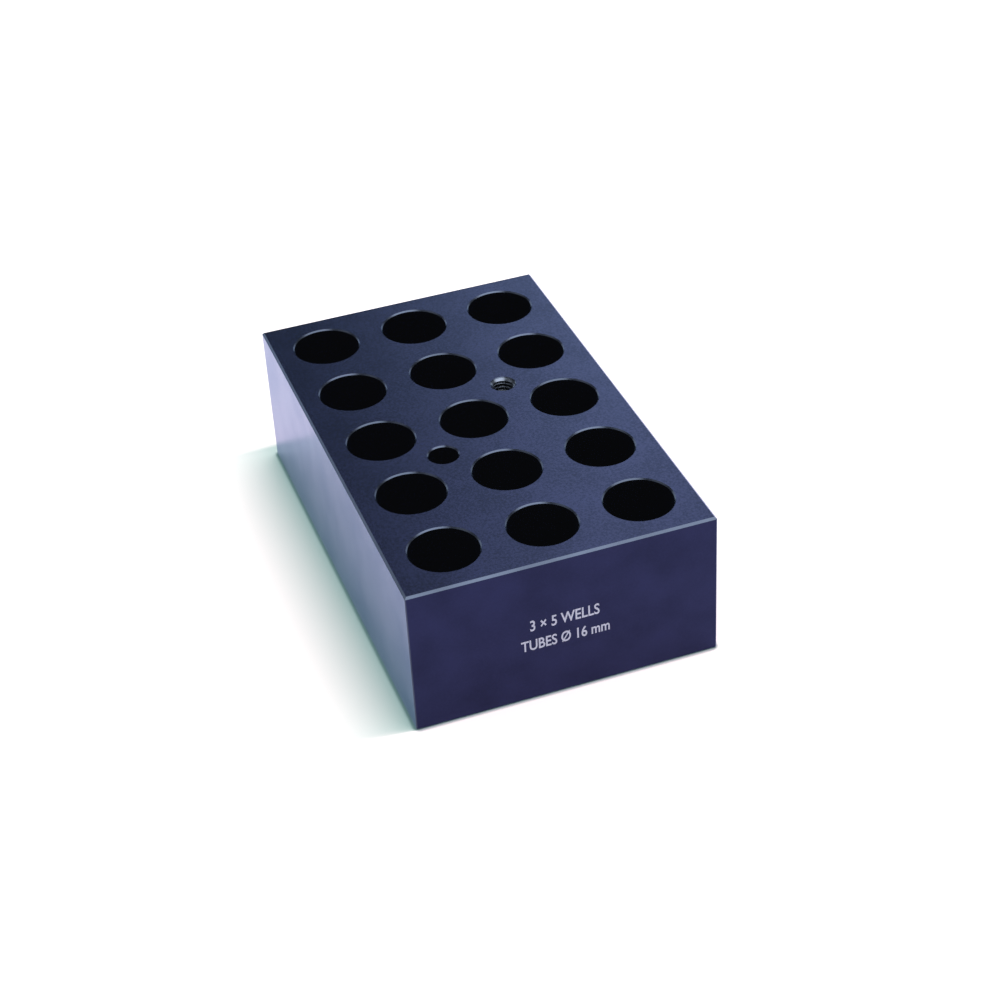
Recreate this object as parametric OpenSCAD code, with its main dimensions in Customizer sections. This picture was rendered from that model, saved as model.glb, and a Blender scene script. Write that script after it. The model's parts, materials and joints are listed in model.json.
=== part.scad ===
// Heat block insert: one machined and anodised aluminium block that sits in
// a dry bath and warms round tubes. It is milled from bar, drilled with a
// grid of blind wells, and has a thermometer well and a tapped lifting hole
// between them. The origin is at the centre of the underside, +Z is up out
// of the wells, the block's length lies along Y, and its marked end is at -Y.

/* [Block] */
// Width of the block
block_w = 72.5; // [66:0.5:90]
// Length of the block
block_l = 118.5; // [112:0.5:140]
// Height of the block
block_h = 37; // [34:0.5:60]
// Chamfer round the top face
top_chamfer = 0.5; // [0.1:0.1:2]
// Chamfer down each upright corner
corner_chamfer = 0.2; // [0.1:0.1:2]
// Chamfer round the underside
base_chamfer = 0.3; // [0.1:0.1:2]

/* [Tube wells] */
// Wells across the width
well_columns = 3; // [1:1:3]
// Wells along the length
well_rows = 5; // [1:1:5]
// From one well's axis to the next, both ways
well_pitch = 23; // [20:0.5:24]
// Bore of a well
well_d = 16.1; // [8:0.1:18]
// Depth of a well down to the end of its straight wall
well_depth = 28; // [10:0.5:30]
// Chamfer round a well's mouth
well_chamfer = 0.3; // [0.1:0.1:0.8]

/* [Thermometer well] */
// Bore of the thermometer well
probe_d = 7.1; // [3:0.1:9]
// Depth of the thermometer well down to the end of its straight wall
probe_depth = 28; // [10:0.5:32]
// Chamfer round its mouth
probe_chamfer = 0.3; // [0.1:0.1:0.8]

/* [Lifting hole] */
// Major diameter of the lifting hole's metric thread
thread_d = 6; // [3:0.5:8]
// Pitch of that thread, which sets the size of its tapping drill
thread_pitch = 1; // [0.5:0.25:1.25]
// Depth to which the hole is tapped
thread_depth = 12; // [6:0.5:14]
// Depth of the tapping drill down to the end of its straight wall
tap_drill_depth = 16; // [14.5:0.5:28]
// Countersink round its mouth, measured on the radius
countersink = 0.2; // [0.1:0.1:1]

/* [Drills] */
// Point angle of the drills, left as a cone at the bottom of each hole
drill_point = 118; // [110:1:150]

/* [Hidden] */
// Overlap of a cutter past the face that it opens
overcut = 1;
$fn = 96;

// A rectangle standing on the X axis and centred on it, with its two low
// corners cut off by low and its two high corners by high.
module cut_corners(w, h, low, high) {
    polygon([
        [low - w / 2, 0], [w / 2 - low, 0],
        [w / 2, low], [w / 2, h - high],
        [w / 2 - high, h], [high - w / 2, h],
        [-w / 2, h - high], [-w / 2, low]
    ]);
}

// The milled blank: its plan, its end view and its side view, each drawn
// with the chamfers seen in that view, and run through one another.
module blank() {
    intersection() {
        translate([0, -block_l / 2, 0])
            linear_extrude(block_h)
                cut_corners(block_w, block_l, corner_chamfer, corner_chamfer);
        rotate([90, 0, 0])
            linear_extrude(block_l, center = true)
                cut_corners(block_w, block_h, base_chamfer, top_chamfer);
        rotate([90, 0, 90])
            linear_extrude(block_w, center = true)
                cut_corners(block_l, block_h, base_chamfer, top_chamfer);
    }
}

// A drilled hole, as its half section turned about its own axis. It runs
// from above the top face, through a 45 degree break at its mouth and a
// straight bore, down to the tip of the cone that the drill's point leaves.
module drilled_hole(d, depth, mouth_chamfer) {
    bore_r = d / 2;
    translate([0, 0, block_h])
        rotate_extrude()
            polygon([
                [0, overcut],
                [bore_r + mouth_chamfer + overcut, overcut],
                [bore_r, -mouth_chamfer],
                [bore_r, -depth],
                [0, -depth - bore_r / tan(drill_point / 2)]
            ]);
}

module tube_wells() {
    for (i = [0 : well_columns - 1], j = [0 : well_rows - 1])
        translate([
            (i - (well_columns - 1) / 2) * well_pitch,
            (j - (well_rows - 1) / 2) * well_pitch,
            0
        ])
            drilled_hole(well_d, well_depth, well_chamfer);
}

// Midway between four tube wells, nearer the marked end.
module thermometer_well() {
    translate([-well_pitch / 2, -well_pitch / 2, 0])
        drilled_hole(probe_d, probe_depth, probe_chamfer);
}

// Midway between four tube wells, across the centre from the thermometer
// well. The tapped length is opened out to the thread's major diameter, and
// the tapping drill runs on below it.
module lifting_hole() {
    thread_r = thread_d / 2;
    drill_r = (thread_d - thread_pitch) / 2;
    translate([well_pitch / 2, well_pitch / 2, block_h])
        rotate_extrude()
            polygon([
                [0, overcut],
                [thread_r + countersink + overcut, overcut],
                [thread_r, -countersink],
                [thread_r, -thread_depth],
                [drill_r, -thread_depth],
                [drill_r, -tap_drill_depth],
                [0, -tap_drill_depth - drill_r / tan(drill_point / 2)]
            ]);
}

module heat_block() {
    color([0.16, 0.17, 0.30])
        difference() {
            blank();
            tube_wells();
            thermometer_well();
            lifting_hole();
        }
}

heat_block();
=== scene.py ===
"""Heat block insert: the looks of one anodised aluminium tube block.

The milled and drilled block comes from the frame as it is. This script gives
it its dyed skin, cuts the thread into its lifting hole, marks its end face,
and stands it on a pale studio floor.
"""
import json
from math import cos, pi, radians, sin, tan

import bpy
from mathutils import Euler, Matrix, Vector


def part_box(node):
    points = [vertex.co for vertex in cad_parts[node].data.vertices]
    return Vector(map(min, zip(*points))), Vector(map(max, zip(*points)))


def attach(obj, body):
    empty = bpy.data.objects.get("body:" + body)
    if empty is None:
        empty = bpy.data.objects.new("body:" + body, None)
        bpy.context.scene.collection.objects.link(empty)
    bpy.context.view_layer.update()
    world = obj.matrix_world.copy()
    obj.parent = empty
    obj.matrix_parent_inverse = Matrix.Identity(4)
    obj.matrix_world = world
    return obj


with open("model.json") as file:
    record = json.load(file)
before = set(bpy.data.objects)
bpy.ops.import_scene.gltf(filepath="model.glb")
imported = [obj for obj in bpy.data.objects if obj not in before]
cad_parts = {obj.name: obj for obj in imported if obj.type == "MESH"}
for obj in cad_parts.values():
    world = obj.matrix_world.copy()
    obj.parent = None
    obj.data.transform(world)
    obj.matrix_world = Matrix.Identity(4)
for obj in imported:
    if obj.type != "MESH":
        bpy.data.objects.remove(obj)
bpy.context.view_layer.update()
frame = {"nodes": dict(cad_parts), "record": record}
mm = 0.001

# ---------------------------------------------------------------------------
# Camera
# It looks down at the block from the front left with a short telephoto lens.
# The lens is shifted a little, and the camera leans a little to one side.
# ---------------------------------------------------------------------------
aim = Vector((8.204, -22.78, 37.0)) * mm
camera_distance = 506.87 * mm
camera_turn = radians(-19.116)
camera_down = radians(34.597)
camera_lean = radians(-2.723)

camera_data = bpy.data.cameras.new("camera")
camera_data.sensor_width = 36
camera_data.lens = 79.43
camera_data.shift_x = -0.0402
camera_data.shift_y = -0.0395
camera_data.clip_start = 10 * mm
camera_data.clip_end = 50
camera = bpy.data.objects.new("camera", camera_data)
bpy.context.collection.objects.link(camera)
level_view = Euler((pi / 2 - camera_down, 0, camera_turn)).to_matrix().to_4x4()
leaning_view = level_view @ Matrix.Rotation(camera_lean, 4, "Z")
backwards = leaning_view.to_3x3() @ Vector((0, 0, 1))
camera.matrix_world = Matrix.Translation(aim + backwards * camera_distance) @ leaning_view
bpy.context.scene.camera = camera
bpy.context.scene.view_settings.view_transform = "Standard"

# ---------------------------------------------------------------------------
# Floor
# A matt pale table, white where nothing shades it. A thin painted shadow darkens it
# where the block stands, seen by the camera only, and what the block mirrors of it is less green.
# ---------------------------------------------------------------------------
table_size = 12
contact_reach = 1.2 * mm
darkest_openness = 0.63
pale = (0.92, 0.92, 0.92)
painted_contact_shadow = (0.31, 0.38, 0.4)
mirrored_pale = (0.97, 0.905, 0.99)


def start_finish(name):
    """Makes a material with an empty node tree, and gives both."""
    finish = bpy.data.materials.new(name)
    finish.use_nodes = True
    finish.node_tree.nodes.clear()
    return finish, finish.node_tree


def reckon(tree, operation, *terms):
    """One Math node. Each term is a number or another node's output."""
    step = tree.nodes.new("ShaderNodeMath")
    step.operation = operation
    for place, term in enumerate(terms):
        if isinstance(term, (int, float)):
            step.inputs[place].default_value = term
        else:
            tree.links.new(term, step.inputs[place])
    return step.outputs[0]


def ease(tree, value, start, end, low=0, high=1):
    """A smooth change from low to high while the value goes from start to end."""
    step = tree.nodes.new("ShaderNodeMapRange")
    step.interpolation_type = "SMOOTHSTEP"
    for socket, number in (("From Min", start), ("From Max", end), ("To Min", low), ("To Max", high)):
        step.inputs[socket].default_value = number
    tree.links.new(value, step.inputs["Value"])
    return step.outputs["Result"]


def blend(tree, amount, first, second):
    """Mixes two colours, each a colour or another node's output."""
    mix = tree.nodes.new("ShaderNodeMix")
    mix.data_type = "RGBA"
    tree.links.new(amount, mix.inputs["Factor"])
    for socket, colour in ((mix.inputs[6], first), (mix.inputs[7], second)):
        if isinstance(colour, tuple):
            socket.default_value = (*colour, 1)
        else:
            tree.links.new(colour, socket)
    return mix.outputs[2]


bpy.ops.object.select_all(action="DESELECT")
bpy.ops.mesh.primitive_plane_add(size=table_size)
table = bpy.context.object
table.name = "table"

table_finish, tree = start_finish("pale table")
near = tree.nodes.new("ShaderNodeAmbientOcclusion")
near.inputs["Distance"].default_value = contact_reach
# Painted contact shadow: the floor darkens where little is open around it, for camera rays only.
painted_shadow_part = ease(tree, near.outputs["AO"], darkest_openness, 1, 1, 0)
seen_colour = blend(tree, painted_shadow_part, pale, painted_contact_shadow)
seen_straight = tree.nodes.new("ShaderNodeLightPath").outputs["Is Camera Ray"]
matt = tree.nodes.new("ShaderNodeBsdfDiffuse")
tree.links.new(blend(tree, seen_straight, mirrored_pale, seen_colour), matt.inputs["Color"])
surface = tree.nodes.new("ShaderNodeOutputMaterial")
tree.links.new(matt.outputs[0], surface.inputs["Surface"])
table.data.materials.append(table_finish)

# ---------------------------------------------------------------------------
# Light
# Two warm lamps hang overhead and reach out to the right, so the one clear shadow
# lies along the block's left side, and a cool room fills it. The skin mirrors white
# walls, a window behind to the right, a soft lamp high in front, and weak glows.
# ---------------------------------------------------------------------------
lamp_colour = (1, 0.652, 0.694)
lamp_height = 1.8
lamp_reach = lamp_height * tan(radians(33))
key_width = 0.14
key_middle = -0.15
key_brightness = 66.3
back_width = lamp_height
back_brightness = 1.37
fill_colour = (0.69, 1, 0.95)
fill_brightness = 0.91
window_span = 60
window_foot = (0.45, 0.62)
window_foot_level = 0.75
window_head = (0.62, 0.78)
window_brightness = 4.4
window_top_brightness = 0.3 * window_brightness
window_steps = ((0, 0.05), (13, 0.07), (15, 0.21), (17, 0.36), (19, 0.48), (21, 0.74), (24, 0.72),
                (27, 0.3), (45, 0.3), (55, 0.08))
wall_top = (0.22, 0.38)
wall_brightness = 1.4
side_glow_inner = (0.45, 0.7)
side_glow_foot = (0.45, 0.65)
ceiling_glow_foot = (0.78, 0.95)
glow_brightness = 0.9
soft_lamp_turn = radians(155)
soft_lamp_rise = radians(51)
soft_lamp_edge = (0.72, 0.93)
soft_lamp_brightness = 4


def hang_lamp(name, middle, width, brightness):
    """A lamp over the block that reaches to the right. It lights, but isn't seen or mirrored."""
    light = bpy.data.lights.new(name, "AREA")
    light.shape = "RECTANGLE"
    light.size = lamp_reach
    light.size_y = width
    light.color = lamp_colour
    light.energy = brightness * pi * lamp_reach * width
    lamp = bpy.data.objects.new(name, light)
    lamp.location = (lamp_reach / 2, middle, lamp_height)
    lamp.visible_camera = False
    lamp.visible_glossy = False
    bpy.context.collection.objects.link(lamp)


hang_lamp("key_lamp", key_middle, key_width, key_brightness)
hang_lamp("back_lamp", back_width / 2, back_width, back_brightness)


def backdrop(tree, colour, strength):
    """A background of one colour, whose strength another node gives."""
    light = tree.nodes.new("ShaderNodeBackground")
    light.inputs["Color"].default_value = (*colour, 1)
    tree.links.new(strength, light.inputs["Strength"])
    return light.outputs[0]


room = bpy.data.worlds.new("studio")
bpy.context.scene.world = room
room.use_nodes = True
tree = room.node_tree
tree.nodes.clear()
rays = tree.nodes.new("ShaderNodeLightPath").outputs
direction = tree.nodes.new("ShaderNodeTexCoord").outputs["Generated"]
along = tree.nodes.new("ShaderNodeSeparateXYZ")
tree.links.new(direction, along.inputs[0])
turn = reckon(tree, "ARCTAN2", along.outputs["X"], along.outputs["Y"])
window = tree.nodes.new("ShaderNodeValToRGB")
while len(window.color_ramp.elements) < len(window_steps):
    window.color_ramp.elements.new(0.5)
for stop, (degrees_right, level) in zip(window.color_ramp.elements, window_steps):
    stop.position = degrees_right / window_span
    stop.color = (level, level, level, 1)
tree.links.new(reckon(tree, "DIVIDE", turn, radians(window_span)), window.inputs["Fac"])
above_foot = ease(tree, along.outputs["Z"], *window_foot, window_foot_level, 1)
below_head = ease(tree, along.outputs["Z"], *window_head, window_brightness, window_top_brightness)
window_by_height = reckon(tree, "MULTIPLY", above_foot, below_head)
upper_room = reckon(tree, "MULTIPLY", window.outputs["Color"], window_by_height)
towards_lamp = tree.nodes.new("ShaderNodeVectorMath")
towards_lamp.operation = "DOT_PRODUCT"
towards_lamp.inputs[1].default_value = (sin(soft_lamp_turn) * cos(soft_lamp_rise),
                                        cos(soft_lamp_turn) * cos(soft_lamp_rise), sin(soft_lamp_rise))
tree.links.new(direction, towards_lamp.inputs[0])
soft_lamp = ease(tree, towards_lamp.outputs["Value"], *soft_lamp_edge, 0, soft_lamp_brightness)
white_walls = ease(tree, along.outputs["Z"], *wall_top, wall_brightness, 0)
far_aside = ease(tree, reckon(tree, "ABSOLUTE", along.outputs["X"]), *side_glow_inner)
high_up = ease(tree, along.outputs["Z"], *side_glow_foot, 0, glow_brightness)
side_glow = reckon(tree, "MULTIPLY", far_aside, high_up)
ceiling_glow = ease(tree, along.outputs["Z"], *ceiling_glow_foot, 0, glow_brightness)
room_seen = white_walls
for part in (upper_room, soft_lamp, side_glow, ceiling_glow):
    room_seen = reckon(tree, "MAXIMUM", room_seen, part)
mirrored = reckon(tree, "MULTIPLY", rays["Is Glossy Ray"], room_seen)
seen_through = reckon(tree, "MAXIMUM", rays["Is Camera Ray"], rays["Is Transmission Ray"])
seen_anyhow = reckon(tree, "MAXIMUM", seen_through, mirrored)
fill = reckon(tree, "MULTIPLY", rays["Is Diffuse Ray"], fill_brightness)
both = tree.nodes.new("ShaderNodeAddShader")
surface = tree.nodes.new("ShaderNodeOutputWorld")
tree.links.new(backdrop(tree, (1, 1, 1), seen_anyhow), both.inputs[0])
tree.links.new(backdrop(tree, fill_colour, fill), both.inputs[1])
tree.links.new(both.outputs[0], surface.inputs["Surface"])

# ---------------------------------------------------------------------------
# Block
# Bar aluminium, milled, drilled, etched to a fine satin, dyed navy and sealed with
# a clear coat of its own oxide, which is a little uneven. The grain is stronger on
# the milled top, and the broken edges get a lighter metal as a painted highlight.
# ---------------------------------------------------------------------------
noise_detail = 2
noise_middle = 0.5
grain_size = 0.55 * mm
grain_heights = (0.3, 0.7)
skin_grain = 0.25
top_grain_gain = 8
facing_up = (0.9, 1)
cloud_size = 12 * mm
skin_clouds = 0.8
skin_roughness = (0.22, 0.26)
skin_depth = 0.0001 * mm
coat_bend = 1.235
coat_roughness = 0.21
coat_shades = (0.75, 1.2)
thinnest_coat = 0.75
dyed_metal = (0.003, 0.006, 0.0395)
painted_edge_highlight = (0.037, 0.049, 0.077)
edge_on_tint = (0.45, 0.64, 1)
painted_glow = (0.0021, 0.0023, 0.0028)
corner_break = 0.2 * mm
corner_blend = 0.05 * mm
chamfer_tilt = 0.7071
chamfer_leeway = 0.03

etch = bpy.data.node_groups.new("satin_etch", "ShaderNodeTree")
etch.interface.new_socket("Place", in_out="INPUT", socket_type="NodeSocketVector")
etch.interface.new_socket("Grain", in_out="INPUT", socket_type="NodeSocketFloat")
etch.interface.new_socket("Clouds", in_out="INPUT", socket_type="NodeSocketFloat")
etch.interface.new_socket("Shade", in_out="OUTPUT", socket_type="NodeSocketFloat")
etch.interface.new_socket("Height", in_out="OUTPUT", socket_type="NodeSocketFloat")
given = etch.nodes.new("NodeGroupInput").outputs
result = etch.nodes.new("NodeGroupOutput").inputs


def mottle(tree, place, size):
    """Soft noise from 0 to 1 whose blotches are about this size."""
    noise = tree.nodes.new("ShaderNodeTexNoise")
    noise.inputs["Scale"].default_value = 1 / size
    noise.inputs["Detail"].default_value = noise_detail
    tree.links.new(place, noise.inputs["Vector"])
    return noise.outputs["Fac"]


grain = mottle(etch, given["Place"], grain_size)
clouds = mottle(etch, given["Place"], cloud_size)
grain_part = reckon(etch, "MULTIPLY", reckon(etch, "SUBTRACT", grain, noise_middle), given["Grain"])
cloud_part = reckon(etch, "MULTIPLY", reckon(etch, "SUBTRACT", clouds, noise_middle), given["Clouds"])
etch.links.new(reckon(etch, "ADD", reckon(etch, "ADD", grain_part, cloud_part), 1), result["Shade"])
etch.links.new(grain, result["Height"])


def tilt(tree):
    """How far a surface faces up: 1 for level, 0 for upright, -1 for an underside."""
    facing = tree.nodes.new("ShaderNodeSeparateXYZ")
    tree.links.new(tree.nodes.new("ShaderNodeNewGeometry").outputs["True Normal"], facing.inputs[0])
    return facing.outputs["Z"]


def etched(tree, grain_amount, cloud_amount):
    """Places the satin etch in a material, stronger on what faces up, and gives its outputs."""
    effect = tree.nodes.new("ShaderNodeGroup")
    effect.node_tree = etch
    grain_here = ease(tree, tilt(tree), *facing_up, grain_amount, top_grain_gain * grain_amount)
    tree.links.new(grain_here, effect.inputs["Grain"])
    effect.inputs["Clouds"].default_value = cloud_amount
    tree.links.new(tree.nodes.new("ShaderNodeTexCoord").outputs["Object"], effect.inputs["Place"])
    return effect.outputs


def coloured(tree, shader, colour, shade):
    """Gives a shader a colour that the shade makes a little lighter or darker from place to place."""
    scale = tree.nodes.new("ShaderNodeVectorMath")
    scale.operation = "SCALE"
    if isinstance(colour, tuple):
        scale.inputs[0].default_value = colour
    else:
        tree.links.new(colour, scale.inputs[0])
    tree.links.new(shade, scale.inputs["Scale"])
    tree.links.new(scale.outputs[0], shader.inputs["Base Color"])


def roughened(tree, shader, height, smoothest, roughest, depth):
    """Makes a shader rougher where a height is greater, and bumps it to this depth."""
    tree.links.new(ease(tree, height, *grain_heights, smoothest, roughest), shader.inputs["Roughness"])
    bump = tree.nodes.new("ShaderNodeBump")
    bump.inputs["Distance"].default_value = depth
    tree.links.new(height, bump.inputs["Height"])
    tree.links.new(bump.outputs["Normal"], shader.inputs["Normal"])


def anodise(tree, metal_colour):
    """Dyed satin metal under its clear sealed oxide, with a faint painted glow, sent to the material's
    output.
    """
    metal = tree.nodes.new("ShaderNodeBsdfPrincipled")
    surface = tree.nodes.new("ShaderNodeOutputMaterial")
    tree.links.new(metal.outputs[0], surface.inputs["Surface"])
    metal.inputs["Metallic"].default_value = 1
    metal.inputs["Specular Tint"].default_value = (*edge_on_tint, 1)
    metal.inputs["Coat IOR"].default_value = coat_bend
    metal.inputs["Coat Roughness"].default_value = coat_roughness
    # A faint glow over the whole skin, painted light that keeps the dark wells from going black.
    metal.inputs["Emission Color"].default_value = (*painted_glow, 1)
    metal.inputs["Emission Strength"].default_value = 1
    texture = etched(tree, skin_grain, skin_clouds)
    coloured(tree, metal, metal_colour, texture["Shade"])
    roughened(tree, metal, texture["Height"], *skin_roughness, skin_depth)
    tree.links.new(ease(tree, texture["Shade"], *coat_shades, thinnest_coat, 1), metal.inputs["Coat Weight"])


block = frame["nodes"]["heat_block"]
block_low, block_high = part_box("heat_block")
skin, tree = start_finish("navy anodising")
where = tree.nodes.new("ShaderNodeSeparateXYZ")
tree.links.new(tree.nodes.new("ShaderNodeTexCoord").outputs["Object"], where.inputs[0])
on_chamfer = reckon(tree, "COMPARE", reckon(tree, "ABSOLUTE", tilt(tree)), chamfer_tilt, chamfer_leeway)
sideways = reckon(tree, "ABSOLUTE", where.outputs["X"])
lengthways = reckon(tree, "ABSOLUTE", where.outputs["Y"])
corner_line = block_high[0] + block_high[1] - corner_break
at_corner = ease(tree, reckon(tree, "ADD", sideways, lengthways), corner_line - corner_blend, corner_line)
# The chamfers and corner breaks get a lighter metal colour: a painted highlight along the edges.
anodise(tree, blend(tree, reckon(tree, "MAXIMUM", on_chamfer, at_corner), dyed_metal, painted_edge_highlight))
for slot in block.material_slots:
    slot.material = skin

# ---------------------------------------------------------------------------
# Lifting thread
# The tap cuts an M6 x 1 thread into the hole beside the middle, for a lifting
# handle. Its ridge winds down the hole and is cut back by the countersink.
# ---------------------------------------------------------------------------
lifting_hole = next(mount for mount in frame["record"]["mounts"] if mount["name"] == "lifting_hole")
thread_top = Vector(lifting_hole["pos_m"])
thread_radius = lifting_hole["dims"]["r_mm"] * mm
thread_length = lifting_hole["dims"]["length_mm"] * mm
thread_pitch = 1 * mm
depth_in_pitches = 0.5413
crest_radius = thread_radius - depth_in_pitches * thread_pitch
crest_width = thread_pitch / 4
hidden_root = 0.05 * mm
flank_lean = radians(30)
root_width = thread_pitch * 7 / 8 + 2 * hidden_root * tan(flank_lean)
ridge_depth = thread_radius + hidden_root - crest_radius
thread_turns = 13
thread_start = 0.81 * thread_pitch
painted_thread_highlight = (0.1, 0.12, 0.16)
thread_sides = 48
weld_reach = 0.001 * mm
cut_reach = 0.0001 * mm
sink_below = 0.8 * mm
sink_above = 1.2 * mm
smooth_below = radians(25)


def only(selected):
    """Makes one object the only selected and active one."""
    bpy.ops.object.select_all(action="DESELECT")
    selected.select_set(True)
    bpy.context.view_layer.objects.active = selected


def apply_modifier(piece, kind, **settings):
    """Adds a modifier with its settings to a piece and applies it."""
    only(piece)
    modifier = piece.modifiers.new(kind.lower(), kind)
    for name, value in settings.items():
        setattr(modifier, name, value)
    bpy.ops.object.modifier_apply(modifier=modifier.name)


bpy.ops.object.select_all(action="DESELECT")
start_height = thread_top.z - thread_length - thread_start
bpy.ops.mesh.primitive_plane_add(size=1, location=(thread_top.x, thread_top.y, start_height),
                                 rotation=(pi / 2, 0, 0))
thread = bpy.context.object
thread.name = "lifting_thread"
bpy.ops.object.transform_apply(location=False, rotation=True, scale=False)
bpy.ops.object.mode_set(mode="EDIT")
bpy.ops.transform.resize(value=(ridge_depth, 1, root_width))
bpy.ops.transform.translate(value=(crest_radius + ridge_depth / 2, 0, 0))
bpy.ops.object.mode_set(mode="OBJECT")
for polygon in thread.data.polygons:
    polygon.select = False
for edge in thread.data.edges:
    edge.select = False
for corner in thread.data.vertices:
    corner.select = corner.co.x < crest_radius + ridge_depth / 2
bpy.ops.object.mode_set(mode="EDIT")
bpy.ops.transform.resize(value=(1, 1, crest_width / root_width))
bpy.ops.mesh.select_all(action="SELECT")
bpy.ops.mesh.delete(type="ONLY_FACE")
bpy.ops.object.mode_set(mode="OBJECT")
apply_modifier(thread, "SCREW", axis="Z", angle=2 * pi, screw_offset=thread_pitch, iterations=thread_turns,
               steps=thread_sides, render_steps=thread_sides, use_normal_calculate=True)
bpy.ops.object.transform_apply(location=True, rotation=True, scale=True)
bpy.ops.object.mode_set(mode="EDIT")
bpy.ops.mesh.select_all(action="SELECT")
bpy.ops.mesh.remove_doubles(threshold=weld_reach)
bpy.ops.mesh.fill_holes(sides=4)
bpy.ops.mesh.select_all(action="SELECT")
bpy.ops.mesh.normals_make_consistent(inside=False)
bpy.ops.mesh.bisect(plane_co=(0, 0, thread_top.z - thread_length), plane_no=(0, 0, 1),
                    use_fill=True, clear_inner=True, threshold=cut_reach)
bpy.ops.object.mode_set(mode="OBJECT")

bpy.ops.object.select_all(action="DESELECT")
bpy.ops.mesh.primitive_cone_add(vertices=2 * thread_sides, depth=sink_below + sink_above,
                                radius1=thread_radius - sink_below, radius2=thread_radius + sink_above,
                                location=thread_top + Vector((0, 0, (sink_above - sink_below) / 2)))
countersink = bpy.context.object
apply_modifier(thread, "BOOLEAN", operation="DIFFERENCE", solver="EXACT", object=countersink)
bpy.data.objects.remove(countersink)
only(thread)
bpy.ops.object.shade_smooth_by_angle(angle=smooth_below)
# The thread's metal is far lighter than the skin's, a painted highlight that lets its ridges show in the
# dark hole.
thread_highlight_finish, tree = start_finish("thread with painted highlight")
anodise(tree, painted_thread_highlight)
thread.data.materials.clear()
thread.data.materials.append(thread_highlight_finish)
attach(thread, "root")

# ---------------------------------------------------------------------------
# Size mark
# Two lines burnt into the middle of the front end by a laser, which bleaches
# the dye to a matt light grey. They say how many wells there are and for what.
# ---------------------------------------------------------------------------
mark_lines = (("3 × 5 WELLS", 16.4 * mm, 20.6 * mm), ("TUBES Ø 16 mm", 21 * mm, 15.3 * mm))
mark_middle = -0.4 * mm
stroke_growth = 0.015
cap_height = 2.85 * mm
mark_proud = 0.02 * mm
curve_steps = 4
bleached_grey = (0.41, 0.4, 0.5)
mark_grain = 0.3
mark_clouds = 0.2
mark_roughness = (0.5, 0.65)
mark_depth = 0.002 * mm
front_face = block_low[1]

pieces_of_mark = []
for words, line_width, middle_height in mark_lines:
    bpy.ops.object.select_all(action="DESELECT")
    bpy.ops.object.text_add()
    line = bpy.context.object
    line.data.body = words
    line.data.extrude = mark_proud
    line.data.offset = stroke_growth
    line.data.resolution_u = curve_steps
    bpy.ops.object.convert(target="MESH")
    line = bpy.context.object
    left = min(corner.co.x for corner in line.data.vertices)
    right = max(corner.co.x for corner in line.data.vertices)
    top = max(corner.co.y for corner in line.data.vertices)
    line.data.transform(Matrix.Translation((-(left + right) / 2, -top / 2, 0)))
    line.data.transform(Matrix.Diagonal((line_width / (right - left), cap_height / top, 1, 1)))
    line.data.transform(Matrix.Rotation(pi / 2, 4, "X"))
    line.data.transform(Matrix.Translation((mark_middle, front_face, middle_height)))
    pieces_of_mark.append(line)
bpy.ops.object.select_all(action="DESELECT")
for line in pieces_of_mark:
    line.select_set(True)
mark = pieces_of_mark[0]
bpy.context.view_layer.objects.active = mark
bpy.ops.object.join()
mark.name = "size_mark"
bpy.ops.object.mode_set(mode="EDIT")
bpy.ops.mesh.select_all(action="SELECT")
bpy.ops.mesh.remove_doubles(threshold=weld_reach)
bpy.ops.mesh.dissolve_degenerate(threshold=weld_reach)
bpy.ops.mesh.normals_make_consistent(inside=False)
bpy.ops.object.mode_set(mode="OBJECT")

bleached, tree = start_finish("laser bleached")
grey = tree.nodes.new("ShaderNodeBsdfPrincipled")
surface = tree.nodes.new("ShaderNodeOutputMaterial")
tree.links.new(grey.outputs[0], surface.inputs["Surface"])
grey.inputs["Specular IOR Level"].default_value = 0.3
texture = etched(tree, mark_grain, mark_clouds)
coloured(tree, grey, bleached_grey, texture["Shade"])
roughened(tree, grey, texture["Height"], *mark_roughness, mark_depth)
mark.data.materials.clear()
mark.data.materials.append(bleached)
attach(mark, "root")
